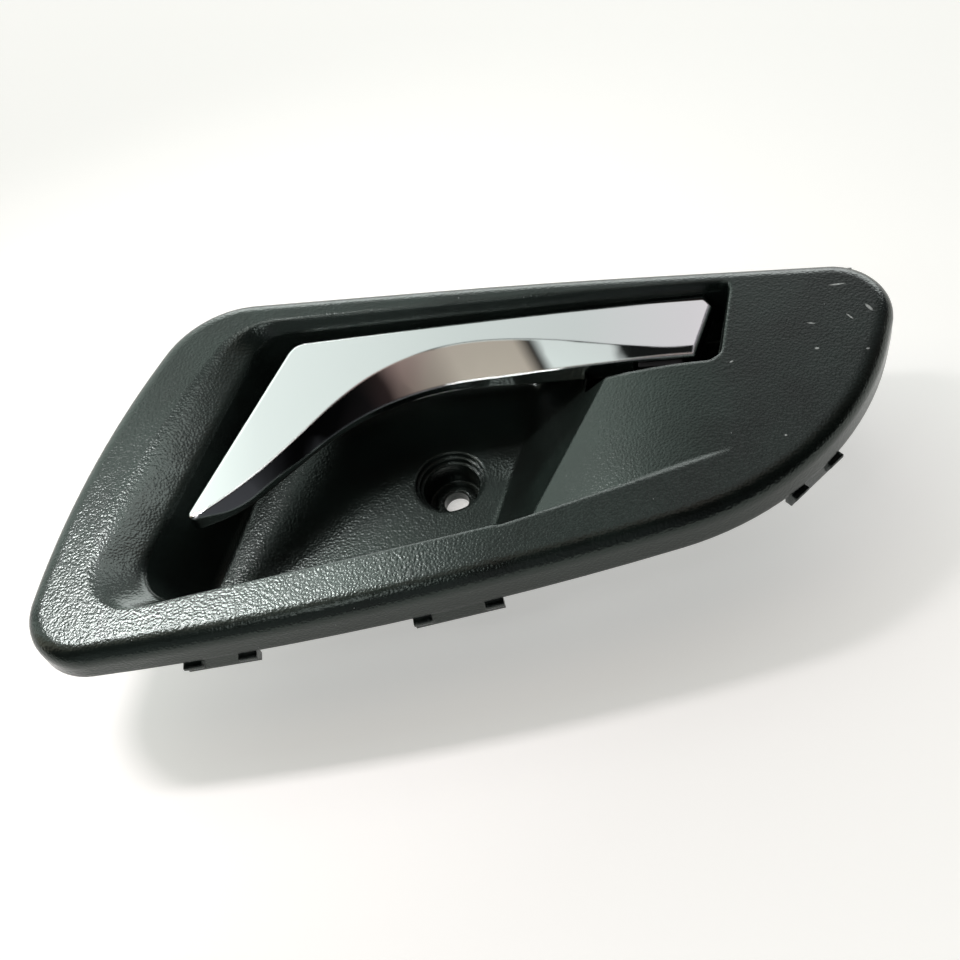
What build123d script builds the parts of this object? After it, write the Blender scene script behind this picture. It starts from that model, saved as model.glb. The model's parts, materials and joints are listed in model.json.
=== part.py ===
from build123d import *
import os

# Inside door handle of a car: a one-piece bezel with a finger cup, and a plated lever hinged in a slot.
# Millimetres. X runs along the straight top edge towards the hinge, Y up the door, Z out of the door.
# The origin is on the screw axis, in the face of the screw boss that sits on the door.
os.makedirs("parts", exist_ok=True)

# Levels over the screw seat
rim_seat = 28.0  # back edge of the rim, where it meets the door panel
rim_rise = 10.5  # rim height at the top of its crown
lip_drop = 3.6  # crown down to the edge of the cup
cup_depth = 22.5  # edge of the cup down to its floor
wall = 2.4

# Rim outline, going round from the top left corner
outline_corners = [(-66.0, 43.0), (-91.0, -62.0), (96.5, -17.2), (111.5, 43.0)]
outline_radii = [25.0, 15.0, 72.0, 14.0]
outline_bows = [7.0, 6.2, 0.0, 0.0]
rim_round = 4.2
crown_middle = 25.0
crown_fall_left = 0.021  # fall of the crown for each millimetre away from its middle
crown_fall_right = 0.014
crown_radius = 1500.0

# Inner slope, from the crest of the rim down to the edge of the cup
crest_corners = [(-54.0, 35.0), (-79.5, -51.0), (24.0, -28.6), (36.0, 13.4), (68.4, 13.4), (71.6, 38.5)]
crest_radii = [16.0, 12.0, 5.0, 3.0, 4.0, 3.0]
crest_bows = [4.5, 0.0, 0.0, 0.0, 0.0, 0.0]
lip_corners = [(-47.8, 32.8), (-69.5, -47.3), (24.0, -25.5), (37.0, 15.0), (66.9, 15.0), (70.0, 37.6)]
lip_radii = [8.0, 10.0, 4.0, 3.0, 3.0, 2.0]
lip_margin = 0.08

# How a slope rolls out of the cup's wall and over into the crown: share of its height, and of its reach there
roll = [(-0.2, 0.0), (-0.05, 0.015), (0.06, 0.06), (0.17, 0.13), (0.5, 0.42), (0.8, 0.68), (0.95, 0.87),
        (1.0, 1.0), (1.04, 1.2)]
roll_chord = [(0.0, 0.0), roll[-1]]

# Finger cup
mouth_end = 50.0
mouth_front = 30.0
mouth_radii = [8.0, 10.0, 5.0, 6.0]
floor_corners = [(-43.9, 30.0), (-59.0, -42.6), (9.5, -26.6), (22.7, 31.5)]
floor_radii = [6.0, 8.0, 5.0, 5.0]
floor_round = 2.5

# Ramp that falls from the right end of the rim into the cup
ramp_start = 69.5
ramp_radius = 96.0
ramp_foot_corners = [(16.0, 17.6), (20.0, -26.0), (62.0, -7.5), (70.0, 17.6)]
ramp_foot_radii = [2.0, 3.0, 8.0, 3.0]
ramp_top_corners = [(12.0, 26.0), (12.0, -32.3), (92.0, -4.5), (92.0, 26.0)]
ramp_top_radii = [2.0, 5.0, 12.0, 8.0]

# Slot for the lever, and the hinge housing round it
slot_left = 35.0
slot_front = 13.8
slot_back = 37.7
slot_right_front = 66.4
slot_right_back = 70.0
slot_step = 0.15  # slot's back wall behind the edge of the cup
slot_round = 2.5
housing_foot = 14.0
crank_room = 1.2  # round the crank arm, where it passes through the housing's floor

# Screw boss
screw_hole = 6.4
counterbore = 14.4
counterbore_steps = [(17.6, 1.2), (16.0, 2.6)]  # diameter and depth of each step at the mouth
screw_web = 2.5
screw_ring = 10.4
screw_ring_rise = 0.8
boss_ribs = 4
boss_rib_reach = 11.0

# Snap tabs under the rim: share of the way round the outline, and the distance between the tab's two noses
tab_places = [(0.07, 12.0), (0.253, 12.8), (0.36, 16.4), (0.531, 11.8), (0.70, 12.0), (0.87, 12.0)]
tab_inset = 1.2
tab_thickness = 1.8
tab_drop = 6.5
tab_root = 3.0
nose_width = 4.2
nose_reach = 1.4
nose_top = 2.2  # rim's back edge down to the noses, for the edge of a 2 mm door panel
nose_face = 1.0
nose_foot = 5.8

# Back ribs in the hollow of the rim
rib = 1.6
rib_recess = 1.5
front_ribs = [-42.0, -12.0, 18.0, 46.0]
left_ribs = [-28.0, -4.0, 18.0]
right_ribs = [76.0, 94.0]

# Hinge
pivot_x = 56.0
pivot_z = 28.0
pin_diameter = 4.0
pin_clearance = 0.05
pin_chamfer = 0.4
side_clearance = 0.4
knuckle_radius = 5.2
knuckle_width = 4.0
hinge_boss = 2.2
hinge_boss_back = 1.4

# Lever outline: bottom edge from the hinge end to the tip, then the corners round to the hinge end again
lever_bottom = [(61.5, 18.2), (-14.3, 15.3), (-45.3, -17.7), (-58.5, -23.6)]
lever_bends = [58.0, 30.0]
lever_top_left = (-39.0, 29.6)
lever_top_right = (64.2, 36.8)
lever_chamfer = (66.0, 33.4)
lever_corner_round = 5.0
lever_tip_round = 1.6
lever_drop = 3.4  # crown of the rim down to the lever's top face
lever_radius = 2400.0
lever_depth = 6.2
lever_skin = 2.2
lever_rib = 1.8
lever_edge_round = 1.0
lever_ribs = [-44.0, -26.0, -6.0, 14.0]

# Bevel along the lever's lower edge: its crease in plan, the line it runs out to, and its fall there
bevel_crease = [(-60.0, -24.6), (-51.0, -18.5), (-41.6, -9.9), (-31.9, 1.3), (-19.8, 15.2), (-1.0, 24.7),
                (12.0, 26.2), (28.0, 25.0), (68.0, 22.0)]
bevel_foot = [(-58.6, -27.0), (-49.5, -20.8), (-39.0, -12.2), (-29.2, -0.8), (-15.8, 6.6), (1.9, 11.4),
              (12.8, 12.8), (28.4, 14.4), (68.5, 14.5)]
bevel_falls = [2.5, 4.0, 4.2, 4.5, 5.0, 4.8, 3.9, 2.2, 0.9]
bevel_margin = 0.03

# Crank arm for the latch cable
crank_length = 18.0
crank_end_radius = 4.0
cable_end = 4.4
cable_slot = 2.0

# Bracket for the cable casing
bracket_x = 87.0
bracket_thickness = 3.0
bracket_front = 26.0
bracket_web = 12.0
casing_slot = 6.0

# Return spring
wire = 1.4
wire_sides = 6
coil_radius = 3.6
coil_turns = 3.25
coil_pitch = 1.6
case_leg = 11.0
lever_leg = 3.6
spring_lug = 3.0

# Stop bumper under the lever
stop_width = 4.4
stop_length = 8.0
stop_height = 3.0
stop_gap = 0.3
stop_round = 0.8
stop_ledge = 5.4

crown_top = rim_seat + rim_rise
lip_level = crown_top - lip_drop
cup_floor = lip_level - cup_depth
outline_span = 4 * crown_top
boss_radius = counterbore_steps[0][0] / 2 + wall
ramp_level = crown_top - crown_fall_right * (ramp_start - crown_middle)
ramp_end = ramp_start + crown_fall_right * ramp_radius  # where the ramp's arc would fall as the crown does
end_align = (Align.MIN, Align.CENTER, Align.CENTER)
lever_top = crown_top - lever_drop
lever_foot = lever_top - lever_depth
bevel_skin = 1.3 * lever_skin
knuckle_front = slot_front + hinge_boss + side_clearance
crank_start = slot_back - hinge_boss_back - side_clearance - knuckle_width
crank_y = crank_start + knuckle_width / 2
crank_z = pivot_z - crank_length
crank_swing = crank_length / 2  # the lever turns through 30 degrees
crank_left = pivot_x - crank_swing - crank_end_radius - crank_room
crank_right = pivot_x + crank_end_radius + crank_room
coil_middle = (knuckle_front + knuckle_width + crank_start) / 2
coil_start = coil_middle - coil_pitch * coil_turns / 2
lug_x = pivot_x - coil_radius - wire / 2 - stop_gap
pin_front = slot_front - wall
pin_length = slot_back + wall - pin_front
stop_x = slot_left - stop_ledge / 2
stop_y = (slot_front + slot_back) / 2 + wall / 2
stop_seat = lever_foot - stop_gap - stop_height
bracket_back = outline_corners[0][1] - 3 * wall / 4
bracket_top = ramp_level - 3 * wall / 4


def tilted_plane(level):
    return Plane(
        origin=(0, 0, level - crown_fall_left * crown_middle),
        x_dir=(1, 0, crown_fall_left),
        z_dir=(-crown_fall_left, 0, 1),
    )


def rounded_face(corners, radii, bows, plane, grow=0.0):
    with BuildSketch(plane) as face:
        with BuildLine():
            for start, end, bow in zip(corners, corners[1:] + corners[:1], bows):
                if bow:
                    SagittaArc(start, end, -bow)
                else:
                    Line(start, end)
        make_face()
        for corner, radius in zip(corners, radii):
            fillet(face.vertices().sort_by_distance(corner)[0], radius)
        if grow:
            offset(amount=grow)
    return face.sketch


def straight(corners):
    return [0.0] * len(corners)


def on_line(start, end, x):
    return start[1] + (end[1] - start[1]) * (x - start[0]) / (end[0] - start[0])


def lip_back(x):
    return on_line(lip_corners[0], lip_corners[-1], x)


def outline_face(grow=0.0):
    return rounded_face(outline_corners, outline_radii, outline_bows, Plane.XY.offset(rim_seat), grow)


def side_plane(y):
    return Plane.XZ.offset(-y)


def mixed(low, high, share):
    return [(1 - share) * a + share * b for a, b in zip(low, high)]


def mixed_face(low, high, radii, bows, share, plane):
    corners = [tuple(mixed(a, b, share)) for a, b in zip(low, high)]
    return rounded_face(corners, mixed(*radii, share), mixed(straight(low), bows, share), plane)


def crown_form(drop):
    with BuildPart() as form:
        with BuildSketch(side_plane(-outline_span / 2)) as profile:
            with BuildLine():
                middle = (crown_middle, crown_top - drop)
                left = (crown_middle - outline_span, middle[1] - crown_fall_left * outline_span)
                right = (crown_middle + outline_span, middle[1] - crown_fall_right * outline_span)
                FilletPolyline(left, middle, right, radius=crown_radius)
                Polyline(right, (right[0], 0), (left[0], 0), left)
            make_face()
        extrude(amount=-outline_span)
    return form.part


def slope_form(drop, profile):
    radii = (lip_radii, crest_radii)
    with BuildPart() as form:
        sections = []
        for height, reach in profile:
            plane = tilted_plane(lip_level + height * lip_drop - drop)
            sections.append(mixed_face(lip_corners, crest_corners, radii, crest_bows, reach, plane))
        loft(sections)
    return form.part


def cup_form(grow, rise):
    with BuildPart() as form:
        floor_plane = Plane.XY.offset(cup_floor - grow)
        floor = rounded_face(floor_corners, floor_radii, straight(floor_corners), floor_plane, grow)
        mouth_plane = tilted_plane(lip_level)
        mouth_corners = lip_corners[:2] + [
            (mouth_front, on_line(lip_corners[1], lip_corners[2], mouth_front)),
            (mouth_end, lip_back(mouth_end)),
        ]
        mouth_grow = grow + lip_margin
        mouth = rounded_face(mouth_corners, mouth_radii, straight(mouth_corners), mouth_plane, mouth_grow)
        loft([floor, mouth])
        fillet(form.faces().sort_by(Axis.Z)[0].edges(), floor_round + grow)
        extrude(mouth, amount=rise)
    return form.part


def ramp_form(drop, profile):
    radii = (ramp_foot_radii, ramp_top_radii)
    bows = straight(ramp_top_corners)
    with BuildPart() as form:
        sections = []
        for height, reach in profile:
            plane = Plane.XY.offset(rim_seat + height * rim_rise - drop)
            sections.append(mixed_face(ramp_foot_corners, ramp_top_corners, radii, bows, reach, plane))
        loft(sections)
        with Locations((ramp_start, 0, ramp_level - ramp_radius - drop)):
            Cylinder(ramp_radius, outline_span, rotation=(90, 0, 0), mode=Mode.SUBTRACT)
        with Locations((ramp_end, 0, 0)):
            Box(outline_span, outline_span, outline_span, align=end_align, mode=Mode.SUBTRACT)
    return form.part


def slot_face(level, grow):
    with BuildSketch(Plane.XY.offset(level)) as face:
        Polygon(
            (slot_left, slot_front),
            (slot_right_front, slot_front),
            (slot_right_back, lip_back(slot_right_back) - slot_step),
            (slot_left, lip_back(slot_left) - slot_step),
            align=None,
        )
        fillet(face.vertices().sort_by_distance((slot_right_front, slot_front))[0], slot_round)
        if grow:
            offset(amount=grow)
    return face.sketch


def lever_face(level, grow=0.0):
    with BuildSketch(Plane.XY.offset(level)) as face:
        with BuildLine():
            FilletPolyline(*lever_bottom, radius=lever_bends)
            Line(lever_bottom[-1], lever_top_left)
            Line(lever_top_left, lever_top_right)
            Line(lever_top_right, lever_chamfer)
            Line(lever_chamfer, lever_bottom[0])
        make_face()
        fillet(face.vertices().sort_by_distance(lever_top_left)[0], lever_corner_round)
        fillet(face.vertices().sort_by_distance(lever_bottom[-1])[0], lever_tip_round)
        if grow:
            offset(amount=grow)
    return face.sketch


def lever_level(x):
    return lever_top - (x - crown_middle) ** 2 / (2 * lever_radius)


def lever_crown(drop):
    with BuildPart() as form:
        with Locations((crown_middle, 0, lever_top - lever_radius)):
            Cylinder(lever_radius - drop, outline_span, rotation=(90, 0, 0))
    return form.part


def bevel_form(drop):
    with BuildLine() as crease:
        Spline(*[(x, y, lever_level(x) + bevel_margin - drop) for x, y in bevel_crease])
    with BuildLine() as foot:
        Spline(*[(x, y, lever_level(x) - fall - drop) for (x, y), fall in zip(bevel_foot, bevel_falls)])
    bevel = Face.make_surface_from_curves(crease.edge(), foot.edge())
    with BuildPart() as form:
        extrude(bevel, amount=2 * lever_depth, dir=(0, 0, 1))
    return form.part


# The hollow behind the rim, with the ribs left standing in it
outline_left, outline_bottom = outline_corners[1]
rib_align = (Align.CENTER, Align.CENTER, Align.MIN)
with BuildPart() as rim_hollow:
    extrude(outline_face(-wall), amount=rim_rise)
    add(crown_form(wall), mode=Mode.INTERSECT)
    add(cup_form(wall, lip_drop / 2), mode=Mode.SUBTRACT)
    add(slope_form(wall, roll_chord), mode=Mode.SUBTRACT)
    add(ramp_form(wall, roll_chord), mode=Mode.SUBTRACT)
    extrude(slot_face(rim_seat, wall), amount=rim_rise, mode=Mode.SUBTRACT)
    with Locations(*[(x, outline_bottom / 2, rim_seat + rib_recess) for x in front_ribs]):
        Box(rib, -outline_bottom, rim_rise, align=rib_align, mode=Mode.SUBTRACT)
    with Locations(*[(outline_left, y, rim_seat + rib_recess) for y in left_ribs]):
        Box(-outline_left, rib, rim_rise, align=rib_align, mode=Mode.SUBTRACT)
    with Locations(*[(x, 0, rim_seat + rib_recess) for x in right_ribs]):
        Box(rib, outline_span, rim_rise, align=rib_align, mode=Mode.SUBTRACT)

# Bezel: rim, cup, ramp, hinge housing, screw boss, snap tabs and cable bracket in one moulding
outline_wire = outline_face().face().outer_wire()
tab_align = (Align.CENTER, Align.MIN, Align.MAX)
with BuildPart() as bezel_case:
    extrude(outline_face(), amount=rim_rise)
    add(crown_form(0), mode=Mode.INTERSECT)
    crown_faces = bezel_case.faces().filter_by(lambda face: face.normal_at().Z > 0.9)
    fillet(crown_faces.edges().filter_by(Axis.Y, reverse=True), rim_round)
    add(cup_form(wall, lip_drop / 2))
    extrude(slot_face(housing_foot, wall), amount=lip_level - housing_foot)
    add(slope_form(0, roll), mode=Mode.SUBTRACT)
    add(cup_form(0, lip_drop), mode=Mode.SUBTRACT)
    add(ramp_form(0, roll), mode=Mode.SUBTRACT)
    add(rim_hollow.part, mode=Mode.SUBTRACT)
    with Locations((slot_left, stop_y, stop_seat)):
        ledge_width = stop_length + wall
        ledge_align = (Align.MAX, Align.CENTER, Align.MIN)
        Box(stop_ledge, ledge_width, stop_ledge, align=(Align.MAX, Align.CENTER, Align.MAX))
        Box(stop_ledge, ledge_width, crown_top, align=ledge_align, mode=Mode.SUBTRACT)
    extrude(slot_face(0, 0), amount=crown_top, mode=Mode.SUBTRACT)

    # Floor of the hinge housing, with an opening that the crank arm swings in
    extrude(slot_face(housing_foot, wall / 2), amount=wall)
    with Locations((crank_left, crank_start - crank_room, housing_foot)):
        Box(crank_right - crank_left, slot_back - crank_start, wall, align=Align.MIN, mode=Mode.SUBTRACT)

    # Screw boss with its stepped counterbore, and a ring round the hole for the screw head
    Cylinder(boss_radius, cup_floor - wall / 2, align=rib_align)
    for index in range(boss_ribs):
        with BuildSketch(Plane.XZ.rotated((0, 0, index * 360 / boss_ribs))) as gusset:
            Polygon(
                (boss_radius - wall / 2, wall),
                (boss_radius + boss_rib_reach, cup_floor - wall / 2),
                (boss_radius - wall / 2, cup_floor - wall / 2),
                align=None,
            )
        extrude(amount=rib / 2, both=True)
    with Locations((0, 0, screw_web)):
        Cylinder(counterbore / 2, cup_floor, align=rib_align, mode=Mode.SUBTRACT)
        Cylinder(screw_ring / 2, screw_ring_rise, align=rib_align)
    for diameter, depth in counterbore_steps:
        with Locations((0, 0, cup_floor - depth)):
            Cylinder(diameter / 2, cup_floor, align=rib_align, mode=Mode.SUBTRACT)
    Cylinder(screw_hole / 2, cup_floor, align=rib_align, mode=Mode.SUBTRACT)

    # Snap tabs: a strip down from the rim's wall, with two hooked noses
    for place, spread in tab_places:
        along = outline_wire.tangent_at(place)
        root = outline_wire.position_at(place)
        with Locations(Plane(origin=root, x_dir=along, z_dir=(0, 0, 1))):
            with Locations((0, tab_inset, tab_root)):
                Box(spread + nose_width, tab_thickness, tab_root + tab_drop, align=tab_align)
        for side in (-spread / 2, spread / 2):
            outward = along.cross(Vector(0, 0, 1))
            with BuildSketch(Plane(origin=root + along * side, x_dir=outward, z_dir=along)) as nose:
                Polygon(
                    (-tab_inset - tab_thickness / 2, nose_top),
                    (nose_reach - tab_inset, nose_top),
                    (nose_reach - tab_inset, nose_top + nose_face),
                    (-tab_inset, nose_foot),
                    (-tab_inset - tab_thickness / 2, nose_foot),
                    align=None,
                )
            extrude(amount=nose_width / 2, both=True)

    # Bracket with an open slot for the end of the cable casing, and the web that braces it
    with BuildSketch(Plane.YZ.offset(bracket_x - bracket_thickness / 2)) as bracket:
        with Locations(((bracket_front + bracket_back) / 2, bracket_top / 2)):
            Rectangle(bracket_back - bracket_front, bracket_top)
        with Locations((crank_y, 0)):
            Rectangle(casing_slot, 2 * crank_z, mode=Mode.SUBTRACT)
        with Locations((crank_y, crank_z)):
            Circle(casing_slot / 2, mode=Mode.SUBTRACT)
    extrude(amount=bracket_thickness)
    with BuildSketch(side_plane(bracket_back)) as web:
        Polygon(
            (bracket_x, crank_z),
            (bracket_x + bracket_web, bracket_top),
            (bracket_x - bracket_web, bracket_top),
            align=None,
        )
    extrude(amount=rib)

    # Hinge bosses, the pin's holes and the lug that holds the spring's leg
    with BuildSketch(side_plane(slot_front - wall / 2)) as front_boss:
        with Locations((pivot_x, pivot_z)):
            Circle(knuckle_radius)
    extrude(amount=-hinge_boss - wall / 2)
    with BuildSketch(side_plane(slot_back + wall / 2)) as back_boss:
        with Locations((pivot_x, pivot_z)):
            Circle(knuckle_radius)
    extrude(amount=hinge_boss_back + wall / 2)
    with Locations((lug_x, slot_front - wall / 2, pivot_z - case_leg)):
        Box(
            spring_lug,
            coil_start + wire + wall / 2 - slot_front,
            spring_lug,
            align=(Align.MAX, Align.MIN, Align.MIN),
        )
    with BuildSketch(side_plane(pin_front)) as pin_hole:
        with Locations((pivot_x, pivot_z)):
            Circle(pin_diameter / 2)
    extrude(amount=-pin_length, mode=Mode.SUBTRACT)

bezel_case.part.label = "bezel_case"
export_step(bezel_case.part, "parts/bezel_case.step")

# Pivot pin, pressed into both hinge walls
with BuildPart() as pivot_pin:
    with BuildSketch(side_plane(pin_front)) as pin_section:
        with Locations((pivot_x, pivot_z)):
            Circle(pin_diameter / 2)
    extrude(amount=-pin_length)
    chamfer(pivot_pin.edges().filter_by(GeomType.CIRCLE), pin_chamfer)

pivot_pin.part.label = "pivot_pin"
export_step(pivot_pin.part, "parts/pivot_pin.step")

# The hollow in the lever's back, with its cross ribs left standing
with BuildPart() as lever_hollow:
    extrude(lever_face(lever_foot, -lever_skin), amount=lever_depth)
    add(lever_crown(lever_skin), mode=Mode.INTERSECT)
    add(bevel_form(bevel_skin), mode=Mode.SUBTRACT)
    with Locations(*[(x, 0, lever_foot) for x in lever_ribs + [stop_x]]):
        Box(lever_rib, outline_span, lever_depth, align=rib_align, mode=Mode.SUBTRACT)

# Pull lever
with BuildPart() as lever:
    extrude(lever_face(lever_foot), amount=lever_depth + lever_skin)
    add(lever_crown(0), mode=Mode.INTERSECT)
    fillet(lever.faces().sort_by(Axis.Z)[-1].edges(), lever_edge_round)
    add(bevel_form(0), mode=Mode.SUBTRACT)
    add(lever_hollow.part, mode=Mode.SUBTRACT)

    # Relief in the lever's edge, round the back hinge boss
    with BuildSketch(side_plane(crank_start + knuckle_width)) as relief:
        with Locations((pivot_x, pivot_z)):
            Circle(knuckle_radius + side_clearance)
    extrude(amount=-wall, mode=Mode.SUBTRACT)

    # Hinge knuckles under the lever's right end
    for knuckle_start in (knuckle_front, crank_start):
        with BuildSketch(side_plane(knuckle_start)) as knuckle:
            with Locations((pivot_x, pivot_z)):
                Circle(knuckle_radius)
            with Locations((pivot_x - knuckle_radius / 2, lever_top - lever_skin)):
                Rectangle(2 * knuckle_radius, lever_skin / 2)
            make_hull()
        extrude(amount=-knuckle_width)

    # Crank arm, with a hole for the cable's end and a slot that lets the wire in
    with BuildSketch(side_plane(crank_start)) as crank:
        with Locations((pivot_x, pivot_z)):
            Circle(knuckle_radius)
        with Locations((pivot_x, crank_z)):
            Circle(crank_end_radius)
        make_hull()
        with Locations((pivot_x, crank_z)):
            Circle(cable_end / 2, mode=Mode.SUBTRACT)
            Rectangle(crank_end_radius, cable_slot, align=(Align.MIN, Align.CENTER), mode=Mode.SUBTRACT)
    extrude(amount=-knuckle_width)
    with BuildSketch(side_plane(pin_front)) as bore:
        with Locations((pivot_x, pivot_z)):
            Circle(pin_diameter / 2 + pin_clearance)
    extrude(amount=-pin_length, mode=Mode.SUBTRACT)

lever.part.label = "lever"
export_step(lever.part, "parts/lever.step")

# Return spring, wound along its own axis and then set round the pin
with BuildPart() as coil:
    with BuildLine() as coil_line:
        Helix(coil_pitch, coil_pitch * coil_turns, coil_radius)
    with BuildSketch(Plane(origin=coil_line.line @ 0, z_dir=coil_line.line % 0)) as section:
        RegularPolygon(wire / 2, wire_sides)
    sweep(path=coil_line.line, is_frenet=True)
    with BuildSketch(Plane(origin=coil_line.line @ 0, z_dir=-(coil_line.line % 0))) as case_end:
        RegularPolygon(wire / 2, wire_sides)
    extrude(amount=case_leg)
    with BuildSketch(Plane(origin=coil_line.line @ 1, z_dir=coil_line.line % 1)) as lever_end:
        RegularPolygon(wire / 2, wire_sides)
    extrude(amount=lever_leg)

coil_plane = Plane(origin=(pivot_x, coil_start, pivot_z), x_dir=(-1, 0, 0), z_dir=(0, 1, 0))
with BuildPart() as return_spring:
    add(coil.part.moved(coil_plane.location))

return_spring.part.label = "return_spring"
export_step(return_spring.part, "parts/return_spring.step")

# Rubber pad that the closed lever rests on
with BuildPart() as stop_bumper:
    with Locations((stop_x, stop_y, stop_seat)):
        Box(stop_width, stop_length, stop_height, align=rib_align)
    fillet(stop_bumper.edges().group_by(Axis.Z)[-1], stop_round)

stop_bumper.part.label = "stop_bumper"
export_step(stop_bumper.part, "parts/stop_bumper.step")
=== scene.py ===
# Inside door handle of a car: a black grained bezel with a finger cup, and a chrome pull lever
import json
import math
import bmesh
import bpy
from mathutils import Matrix, Vector


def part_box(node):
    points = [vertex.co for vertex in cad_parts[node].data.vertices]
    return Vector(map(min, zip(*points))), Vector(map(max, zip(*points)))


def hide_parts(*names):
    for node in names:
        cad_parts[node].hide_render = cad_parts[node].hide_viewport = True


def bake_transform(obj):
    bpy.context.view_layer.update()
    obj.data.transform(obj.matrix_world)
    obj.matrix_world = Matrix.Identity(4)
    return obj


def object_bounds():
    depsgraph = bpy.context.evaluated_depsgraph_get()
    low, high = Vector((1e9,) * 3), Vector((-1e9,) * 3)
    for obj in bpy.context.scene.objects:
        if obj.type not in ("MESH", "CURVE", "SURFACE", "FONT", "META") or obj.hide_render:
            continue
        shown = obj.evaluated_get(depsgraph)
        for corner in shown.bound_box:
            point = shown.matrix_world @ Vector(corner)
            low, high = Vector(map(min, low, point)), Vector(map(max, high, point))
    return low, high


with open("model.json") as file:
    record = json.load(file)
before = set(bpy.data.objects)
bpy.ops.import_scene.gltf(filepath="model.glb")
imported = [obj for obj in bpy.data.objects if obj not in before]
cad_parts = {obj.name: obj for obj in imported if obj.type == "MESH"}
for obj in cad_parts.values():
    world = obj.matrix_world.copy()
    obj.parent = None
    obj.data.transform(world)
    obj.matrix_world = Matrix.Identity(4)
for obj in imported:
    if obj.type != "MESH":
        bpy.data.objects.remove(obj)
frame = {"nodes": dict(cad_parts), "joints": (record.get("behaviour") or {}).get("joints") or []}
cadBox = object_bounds()
mm = 0.001
nodes = frame["nodes"]
scene = bpy.context.scene
scene.view_settings.view_transform = "Standard"


def hexColor(text):  # sRGB hex to the linear colour that the shaders take
    parts = [int(text[i:i + 2], 16) / 255 for i in (1, 3, 5)]
    linear = [c / 12.92 if c <= 0.04045 else ((c + 0.055) / 1.055) ** 2.4 for c in parts]
    return (*linear, 1.0)


def addNode(tree, kind, inputs=None, **settings):  # settings on the node, values or links on its sockets
    node = tree.nodes.new(kind)
    for name, value in settings.items():
        setattr(node, name, value)
    for socket, value in (inputs or {}).items():
        if isinstance(value, bpy.types.NodeSocket):
            tree.links.new(value, node.inputs[socket])
        else:
            node.inputs[socket].default_value = value
    return node


# Sockets of a colour Mix node: its factor, its two colours and its result
mixFactor, mixFirst, mixSecond, mixResult = 0, 6, 7, 2
edgeSamples = 6  # rays that a Bevel node sends to soften an edge


def newMaterial(name):
    material = bpy.data.materials.new(name)
    material.use_nodes = True
    tree = material.node_tree
    tree.nodes.clear()
    return material, tree


def finishMaterial(tree, inputs):
    shader = addNode(tree, "ShaderNodeBsdfPrincipled", inputs)
    addNode(tree, "ShaderNodeOutputMaterial", {"Surface": shader.outputs["BSDF"]})


def setRamp(ramp, stops):  # stops are (place, hex colour), from low to high
    elements = ramp.color_ramp.elements
    while len(elements) < len(stops):
        elements.new(0.5)
    for element, (place, color) in zip(elements, stops):
        element.position = place
        element.color = hexColor(color)


def dress(piece, material):
    piece.data.materials.clear()
    piece.data.materials.append(material)


# Camera: where it stood and what it looked at, in millimetres, with its roll
camera = {
    "azimuth": 18.0,
    "elevation": 54.0,
    "roll": 17.0,
    "target": (12.203, -13.980, 33.0),
    "distance": 305.58,
    "lens": 50.0,
    "sensor": 36.0,
    "clipStart": 10.0,
}


def viewAxes():
    a, e, r = (math.radians(camera[key]) for key in ("azimuth", "elevation", "roll"))
    back = Vector((math.sin(a) * math.cos(e), -math.cos(a) * math.cos(e), math.sin(e)))
    side = Vector((math.cos(a), math.sin(a), 0))
    upright = back.cross(side)
    right = math.cos(r) * side - math.sin(r) * upright
    up = math.sin(r) * side + math.cos(r) * upright
    return right, up, back


def makeCamera():
    right, up, back = viewAxes()
    data = bpy.data.cameras.new("camera")
    data.lens = camera["lens"]
    data.sensor_width = camera["sensor"]
    data.clip_start = camera["clipStart"] * mm
    eye = bpy.data.objects.new("camera", data)
    place = (Vector(camera["target"]) + back * camera["distance"]) * mm
    eye.matrix_world = Matrix.Translation(place) @ Matrix((right, up, back)).transposed().to_4x4()
    scene.collection.objects.link(eye)
    scene.camera = eye


makeCamera()
print("camera set")

# Black polypropylene, moulded against an etched tool: a satin sheen broken up by fine pebbles
plastic = {
    "dark": "#121614",
    "pale": "#1B2320",
    "toneEnds": (0.35, 0.7),  # noise levels of the dark and the pale tone
    "sheen": "#EEFFF7",  # tint of the reflected light
    "ior": 1.5,
    "patch": 14.0,  # size of the drifting tone, mm
    "patchDetail": 3.0,
    "grain": 0.55,  # width of one pebble, mm
    "grainDepth": 0.07,
    "roughness": (0.18, 0.28),
    "softEdge": 1.2,  # radius that moulded edges catch the light with, mm
    "nickColor": "#A3A7A5",
    "nickCore": 0.5,  # share of a mark that is fully worn
    "speckCore": 0.6,  # share of a speck that is solid
    "nicks": [  # pale worn marks: place, half length and half width, and the turn from X in degrees
        ((95.1, 34.9, 37.5), 2.2, 0.3, 5),
        ((101.7, 27.3, 37.4), 1.5, 0.45, -55),
        ((97.2, 24.8, 37.5), 1.3, 0.25, -50),
        ((89.2, 15.7, 37.6), 0.6, 0.4, 0),
        ((100.4, 15.0, 37.4), 0.5, 0.3, 20),
        ((88.4, 23.3, 37.6), 1.1, 0.22, -10),
        ((69.9, 12.9, 37.9), 0.6, 0.25, 25),
        ((80.9, -8.5, 37.7), 0.35, 0.3, 0),
        ((60.0, -14.3, 38.0), 0.5, 0.25, 15),
    ],
    "dust": 5.0,  # spacing of single specks of dust, mm
    "speck": 0.12,  # radius of one speck, mm
}


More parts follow.
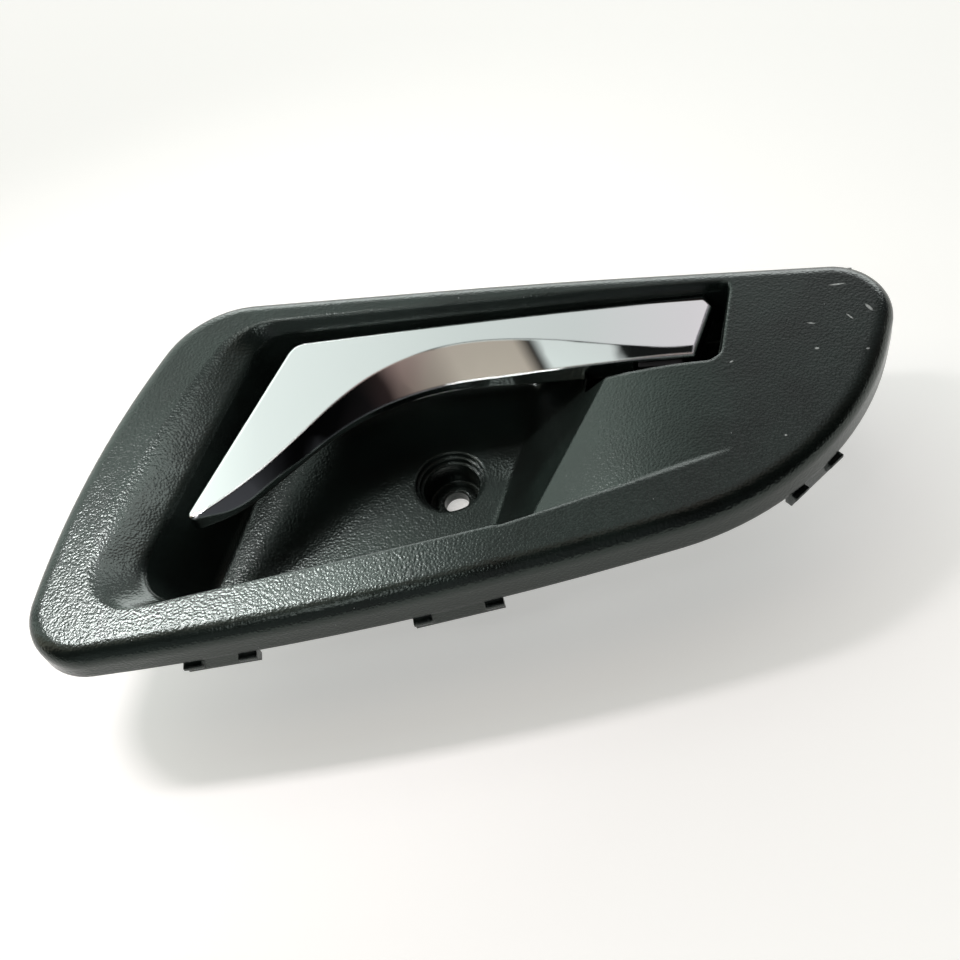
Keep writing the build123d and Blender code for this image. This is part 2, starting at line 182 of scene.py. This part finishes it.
def nickMask(tree, place, nick):  # 1 inside one worn mark, fading towards its rim
    at, length, width, turn = nick
    local = addNode(
        tree,
        "ShaderNodeMapping",
        {
            "Vector": place,
            "Location": Vector(at) * mm,
            "Rotation": (0, 0, math.radians(turn)),
            "Scale": (length * mm, width * mm, length * mm),
        },
        vector_type="TEXTURE",
    )
    reach = addNode(tree, "ShaderNodeVectorMath", {0: local.outputs["Vector"]}, operation="LENGTH")
    fade = {"From Min": plastic["nickCore"], "From Max": 1.0, "To Min": 1.0, "To Max": 0.0}
    mask = addNode(tree, "ShaderNodeMapRange", {"Value": reach.outputs["Value"], **fade})
    return mask.outputs["Result"]


def dustMask(tree, place):  # 1 on a few specks, scattered a cell apart
    cells = addNode(tree, "ShaderNodeTexVoronoi", {"Vector": place, "Scale": 1 / (plastic["dust"] * mm)})
    size = plastic["speck"] / plastic["dust"]
    fade = {"From Min": size * plastic["speckCore"], "From Max": size, "To Min": 1.0, "To Max": 0.0}
    mask = addNode(tree, "ShaderNodeMapRange", {"Value": cells.outputs["Distance"], **fade})
    return mask.outputs["Result"]


def plasticMaterial():
    material, tree = newMaterial("grainedPolypropylene")
    place = addNode(tree, "ShaderNodeTexCoord").outputs["Object"]
    drift = addNode(
        tree,
        "ShaderNodeTexNoise",
        {"Vector": place, "Scale": 1 / (plastic["patch"] * mm), "Detail": plastic["patchDetail"]},
    )
    tone = addNode(tree, "ShaderNodeValToRGB", {"Fac": drift.outputs["Fac"]})
    setRamp(tone, list(zip(plastic["toneEnds"], (plastic["dark"], plastic["pale"]))))
    pebbles = addNode(
        tree,
        "ShaderNodeTexVoronoi",
        {"Vector": place, "Scale": 1 / (plastic["grain"] * mm)},
        feature="SMOOTH_F1",
    ).outputs["Distance"]
    low, high = plastic["roughness"]
    satin = addNode(tree, "ShaderNodeMapRange", {"Value": pebbles, "To Min": low, "To Max": high})
    edges = addNode(tree, "ShaderNodeBevel", {"Radius": plastic["softEdge"] * mm}, samples=edgeSamples)
    bump = addNode(
        tree,
        "ShaderNodeBump",
        {"Height": pebbles, "Distance": plastic["grainDepth"] * mm, "Normal": edges.outputs["Normal"]},
    )
    worn = dustMask(tree, place)
    for nick in plastic["nicks"]:
        mark = nickMask(tree, place, nick)
        worn = addNode(tree, "ShaderNodeMath", {0: worn, 1: mark}, operation="MAXIMUM").outputs["Value"]
    color = addNode(
        tree,
        "ShaderNodeMix",
        {mixFactor: worn, mixFirst: tone.outputs["Color"], mixSecond: hexColor(plastic["nickColor"])},
        data_type="RGBA",
    )
    finishMaterial(
        tree,
        {
            "Base Color": color.outputs[mixResult],
            "Roughness": satin.outputs["Result"],
            "Normal": bump.outputs["Normal"],
            "IOR": plastic["ior"],
            "Specular Tint": hexColor(plastic["sheen"]),
        },
    )
    return material


# Bright chrome on a polished plastic moulding: a clean mirror, a little wavy where the plastic shrank,
# with the hinge knuckles painted dark and dull as painted shade for the gap under the lever
chrome = {
    "color": "#E4E6E6",
    "roughness": 0.03,
    "ripple": 22.0,  # length of one wave, mm
    "rippleDepth": 0.05,
    "rippleDetail": 1.0,
    "softEdge": 0.8,  # radius that its edges mirror the room with, mm
    # painted shade: the colour and roughness that the hinge knuckles get in the gap under the lever
    "knuckleShadeColor": "#2B2B2C",
    "knuckleShadeRoughness": 0.4,
    "knucklesFrom": 47.0,  # right of this and below knuckleTop the chrome is painted dark and dull as shade, mm
    "knuckleTop": 33.8,
}


def chromeMaterial():
    material, tree = newMaterial("chromePlate")
    place = addNode(tree, "ShaderNodeTexCoord").outputs["Object"]
    axes = addNode(tree, "ShaderNodeSeparateXYZ", {0: place}).outputs
    start, top = (chrome[key] * mm for key in ("knucklesFrom", "knuckleTop"))
    # painted shade: right of knucklesFrom and below knuckleTop the chrome turns dark and dull
    right = addNode(tree, "ShaderNodeMath", {0: axes["X"], 1: start}, operation="GREATER_THAN")
    below = addNode(tree, "ShaderNodeMath", {0: axes["Z"], 1: top}, operation="LESS_THAN")
    knuckleShade = addNode(
        tree, "ShaderNodeMath", {0: right.outputs["Value"], 1: below.outputs["Value"]}, operation="MULTIPLY"
    ).outputs["Value"]
    color = addNode(
        tree,
        "ShaderNodeMix",
        {mixFactor: knuckleShade, mixFirst: hexColor(chrome["color"]), mixSecond: hexColor(chrome["knuckleShadeColor"])},
        data_type="RGBA",
    )
    polish = addNode(
        tree,
        "ShaderNodeMapRange",
        {"Value": knuckleShade, "To Min": chrome["roughness"], "To Max": chrome["knuckleShadeRoughness"]},
    )
    wave = addNode(
        tree,
        "ShaderNodeTexNoise",
        {"Vector": place, "Scale": 1 / (chrome["ripple"] * mm), "Detail": chrome["rippleDetail"]},
    )
    edges = addNode(tree, "ShaderNodeBevel", {"Radius": chrome["softEdge"] * mm}, samples=edgeSamples)
    bump = addNode(
        tree,
        "ShaderNodeBump",
        {
            "Height": wave.outputs["Fac"],
            "Distance": chrome["rippleDepth"] * mm,
            "Normal": edges.outputs["Normal"],
        },
    )
    finishMaterial(
        tree,
        {
            "Base Color": color.outputs[mixResult],
            "Metallic": 1.0,
            "Roughness": polish.outputs["Result"],
            "Normal": bump.outputs["Normal"],
        },
    )
    return material


# Drawn steel, for the pin and the spring: grey metal with fine draw marks
steel = {
    "bright": "#A9A9AA",
    "dull": "#77787A",
    "toneEnds": (0.3, 0.7),  # noise levels of the dull and the bright tone
    "mark": 0.3,  # width of one draw mark, mm
    "markDetail": 2.0,
    "pinStretch": (1, 0.1, 1),
    "pinRoughness": 0.3,
    "wireStretch": (1, 1, 1),
    "wireRoughness": 0.35,
}


def steelMaterial(name, stretch, roughness):  # stretch below 1 draws the marks out along that axis
    material, tree = newMaterial(name)
    place = addNode(tree, "ShaderNodeTexCoord").outputs["Object"]
    drawn = addNode(tree, "ShaderNodeMapping", {"Vector": place, "Scale": stretch}).outputs["Vector"]
    marks = addNode(
        tree,
        "ShaderNodeTexNoise",
        {"Vector": drawn, "Scale": 1 / (steel["mark"] * mm), "Detail": steel["markDetail"]},
    )
    tone = addNode(tree, "ShaderNodeValToRGB", {"Fac": marks.outputs["Fac"]})
    setRamp(tone, list(zip(steel["toneEnds"], (steel["dull"], steel["bright"]))))
    finishMaterial(tree, {"Base Color": tone.outputs["Color"], "Metallic": 1.0, "Roughness": roughness})
    return material


# Moulded rubber: flat black with a faint grey bloom
rubber = {
    "black": "#101010",
    "bloom": "#1D1D1C",
    "toneEnds": (0.4, 0.75),  # noise levels of the black and the bloom
    "patch": 1.5,  # size of one patch of bloom, mm
    "patchDetail": 4.0,
    "roughness": 0.8,
}


def rubberMaterial():
    material, tree = newMaterial("mouldedRubber")
    place = addNode(tree, "ShaderNodeTexCoord").outputs["Object"]
    bloom = addNode(
        tree,
        "ShaderNodeTexNoise",
        {"Vector": place, "Scale": 1 / (rubber["patch"] * mm), "Detail": rubber["patchDetail"]},
    )
    tone = addNode(tree, "ShaderNodeValToRGB", {"Fac": bloom.outputs["Fac"]})
    setRamp(tone, list(zip(rubber["toneEnds"], (rubber["black"], rubber["bloom"]))))
    finishMaterial(tree, {"Base Color": tone.outputs["Color"], "Roughness": rubber["roughness"]})
    return material


dress(nodes["bezel_case"], plasticMaterial())
dress(nodes["lever"], chromeMaterial())
dress(nodes["pivot_pin"], steelMaterial("drawnSteel", steel["pinStretch"], steel["pinRoughness"]))
dress(nodes["stop_bumper"], rubberMaterial())
print("solids dressed")

# Return spring in round wire, wound as its solid is: sizes in millimetres
spring = {
    "wire": 1.4,
    "radius": 3.6,
    "turns": 3.25,
    "pitch": 1.6,
    "caseLeg": 11.0,
    "leverLeg": 3.6,
    "steps": 24,  # stretches in one turn
    "sides": 12,  # sides of the wire
    "sharpFrom": 40,  # edges that turn more than this stay sharp, degrees
}


def grow(shape, rim, along):  # pulls an open rim on, and gives the new rim
    made = bmesh.ops.extrude_edge_only(shape, edges=rim)["geom"]
    bmesh.ops.translate(shape, verts=[g for g in made if isinstance(g, bmesh.types.BMVert)], vec=along)
    return [g for g in made if isinstance(g, bmesh.types.BMEdge) and g.is_boundary]


def makeSpring():
    pivot = Vector(frame["joints"][0]["pos_m"])
    low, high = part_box("return_spring")
    climb = spring["pitch"] * spring["turns"] * mm
    axis = Vector((pivot.x, (low.y + high.y - climb) / 2, pivot.z))
    coilStart = axis + Vector((-spring["radius"] * mm, 0, 0))
    leg = Vector((0, 0, spring["caseLeg"] * mm))
    shape = bmesh.new()
    foot = Matrix.Translation(coilStart - leg)
    bmesh.ops.create_circle(shape, segments=spring["sides"], radius=spring["wire"] / 2 * mm, matrix=foot)
    rim = grow(shape, shape.edges[:], leg)
    wound = bmesh.ops.spin(
        shape,
        geom=rim + list({v for e in rim for v in e.verts}),
        cent=axis,
        axis=(0, 1, 0),
        dvec=(0, spring["pitch"] / spring["steps"] * mm, 0),
        angle=2 * math.pi * spring["turns"],
        steps=round(spring["turns"] * spring["steps"]),
    )
    rim = [g for g in wound["geom_last"] if isinstance(g, bmesh.types.BMEdge)]
    grow(shape, rim, (spring["leverLeg"] * mm, 0, 0))
    bmesh.ops.holes_fill(shape, edges=[e for e in shape.edges if e.is_boundary])
    bmesh.ops.recalc_face_normals(shape, faces=shape.faces)
    mesh = bpy.data.meshes.new("returnSpring")
    shape.to_mesh(mesh)
    shape.free()
    mesh.shade_smooth()
    mesh.set_sharp_from_angle(angle=math.radians(spring["sharpFrom"]))
    piece = bpy.data.objects.new("returnSpring", mesh)
    scene.collection.objects.link(piece)
    dress(piece, steelMaterial("springSteel", steel["wireStretch"], steel["wireRoughness"]))
    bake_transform(piece)
    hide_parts("return_spring")


makeSpring()
print("spring wound")

# Pale flat paper under the handle, and four lamps: sizes in millimetres, spread in degrees, light in watts
studio = {
    "paper": "#E2E2DF",
    "paperSize": 4000.0,
    "paperGlow": 0.58,  # what the eye sees of the paper beside its own shading, so that it stays pale
    "windows": [
        {
            "name": "stripWindow",
            "at": (-254, 114, 404),
            "aim": (-65, -50, 36),
            "along": (1, 0.3, 0.2),
            "size": (135, 36),
            "spread": 60,
            "color": "#FFF6FA",
            "watts": 0.15,
        },
        {
            "name": "backWindow",
            "at": (60, 1300, 400),
            "aim": (0, 0, 30),
            "along": (1, 0, 0),
            "size": (1800, 600),
            "spread": 180,
            "color": "#FFFFFF",
            "watts": 15.0,
        },
        {
            "name": "frontSpot",
            "at": (-45, -124, 223),
            "aim": (2, 36, 38),
            "along": (1, 0, 0),
            "size": (60, 60),
            "spread": 50,
            "color": "#FFFFFF",
            "watts": 0.008,
        },
        {
            "name": "fill",
            "at": (-72, 40, 168),
            "aim": (-65, 0, 30),
            "along": (1, 0, 0),
            "size": (60, 50),
            "spread": 180,
            "color": "#FFFFFF",
            "watts": 0.03,
        },
    ],
}


def makeFloor():
    shape = bmesh.new()
    bmesh.ops.create_grid(shape, x_segments=1, y_segments=1, size=studio["paperSize"] / 2 * mm)
    bmesh.ops.translate(shape, verts=shape.verts, vec=(0, 0, cadBox[0][2]))
    mesh = bpy.data.meshes.new("floor")
    shape.to_mesh(mesh)
    shape.free()
    floor = bpy.data.objects.new("floor", mesh)
    scene.collection.objects.link(floor)
    material, tree = newMaterial("palePaper")
    paper = addNode(tree, "ShaderNodeBsdfDiffuse", {"Color": hexColor(studio["paper"])}).outputs["BSDF"]
    glow = addNode(
        tree, "ShaderNodeEmission", {"Color": hexColor(studio["paper"]), "Strength": studio["paperGlow"]}
    )
    both = addNode(tree, "ShaderNodeAddShader", {0: paper, 1: glow.outputs["Emission"]})
    path = addNode(tree, "ShaderNodeLightPath").outputs
    seen = path["Is Camera Ray"]
    for ray in ("Is Glossy Ray", "Is Transmission Ray"):
        either = addNode(tree, "ShaderNodeMath", {0: seen, 1: path[ray]}, operation="MAXIMUM")
        seen = either.outputs["Value"]
    look = addNode(tree, "ShaderNodeMixShader", {0: seen, 1: paper, 2: both.outputs["Shader"]})
    addNode(tree, "ShaderNodeOutputMaterial", {"Surface": look.outputs["Shader"]})
    dress(floor, material)


def makeWindows():
    for window in studio["windows"]:
        data = bpy.data.lights.new(window["name"], "AREA")
        data.shape = "RECTANGLE"
        data.energy = window["watts"]
        data.color = hexColor(window["color"])[:3]
        data.size, data.size_y = (side * mm for side in window["size"])
        data.spread = math.radians(window["spread"])
        lamp = bpy.data.objects.new(window["name"], data)
        at = Vector(window["at"])
        back = (at - Vector(window["aim"])).normalized()
        side = Vector(window["along"]).cross(back).cross(back).normalized() * -1
        turn = Matrix((side, back.cross(side), back)).transposed().to_4x4()
        lamp.matrix_world = Matrix.Translation(at * mm) @ turn
        lamp.visible_camera = False
        scene.collection.objects.link(lamp)


# The room round the handle, as the chrome mirrors it: stops are directions from -1 to 1
room = {
    "frontToBack": [
        (-1.0, "#9C9E9F"),
        (-0.75, "#8E9091"),
        (-0.62, "#161616"),
        (-0.25, "#161616"),
        (-0.12, "#2A2422"),
        (-0.05, "#8F8178"),
        (0.10, "#CEBFB3"),
        (0.25, "#CABBAF"),
        (0.29, "#2B2726"),
        (0.32, "#F8FAF9"),
        (0.48, "#F8FAF9"),
        (0.50, "#1A1C1B"),
        (0.57, "#1A1C1B"),
        (0.59, "#F2F4F3"),
        (1.0, "#F2F4F3"),
    ],
    "slant": -0.25,  # how the room's edges run from left to right
    "leftToRight": [
        (-1.0, "#F6FFFA"),
        (-0.5, "#F6FFFA"),
        (-0.38, "#C9CFCC"),
        (-0.2, "#B3B8B6"),
        (-0.1, "#AFB2B1"),
        (0.0, "#B8B3B6"),
        (0.1, "#C8BEC4"),
        (0.2, "#ACA6AA"),
        (0.5, "#5F5F63"),
        (1.0, "#47474A"),
    ],
    "strength": 1.9,
    "waver": 0.02,  # how far the room's edges wander
    "waverScale": 5.0,
    "waverDetail": 1.0,
    "seen": "#F7F8F5",  # the plain backdrop that the camera sees above the paper's edge
}


def roomRamp(tree, value, stops):  # a colour that changes along one direction of the room
    level = addNode(tree, "ShaderNodeMapRange", {"Value": value, "From Min": -1.0, "From Max": 1.0})
    ramp = addNode(tree, "ShaderNodeValToRGB", {"Fac": level.outputs["Result"]})
    setRamp(ramp, [((place + 1) / 2, color) for place, color in stops])
    return ramp.outputs["Color"]


def makeRoom():
    world = bpy.data.worlds.new("studioRoom")
    scene.world = world
    world.use_nodes = True
    tree = world.node_tree
    tree.nodes.clear()
    way = addNode(tree, "ShaderNodeTexCoord").outputs["Generated"]
    axes = addNode(tree, "ShaderNodeSeparateXYZ", {0: way}).outputs
    waver = addNode(
        tree,
        "ShaderNodeTexNoise",
        {"Vector": way, "Scale": room["waverScale"], "Detail": room["waverDetail"]},
        normalize=False,
    )
    depth = axes["Y"]
    for offset, share in ((axes["X"], room["slant"]), (waver.outputs["Fac"], room["waver"])):
        depth = addNode(
            tree, "ShaderNodeMath", {0: offset, 1: share, 2: depth}, operation="MULTIPLY_ADD"
        ).outputs["Value"]
    walls = addNode(
        tree,
        "ShaderNodeMix",
        {
            mixFactor: 1.0,
            mixFirst: roomRamp(tree, depth, room["frontToBack"]),
            mixSecond: roomRamp(tree, axes["X"], room["leftToRight"]),
        },
        data_type="RGBA",
        blend_type="MULTIPLY",
    ).outputs[mixResult]
    light = addNode(tree, "ShaderNodeBackground", {"Color": walls, "Strength": room["strength"]})
    pale = addNode(tree, "ShaderNodeBackground", {"Color": hexColor(room["seen"])})
    seen = addNode(tree, "ShaderNodeLightPath").outputs["Is Camera Ray"]
    look = addNode(
        tree,
        "ShaderNodeMixShader",
        {0: seen, 1: light.outputs["Background"], 2: pale.outputs["Background"]},
    )
    addNode(tree, "ShaderNodeOutputWorld", {"Surface": look.outputs["Shader"]})


makeFloor()
makeWindows()
makeRoom()
print("studio lit")
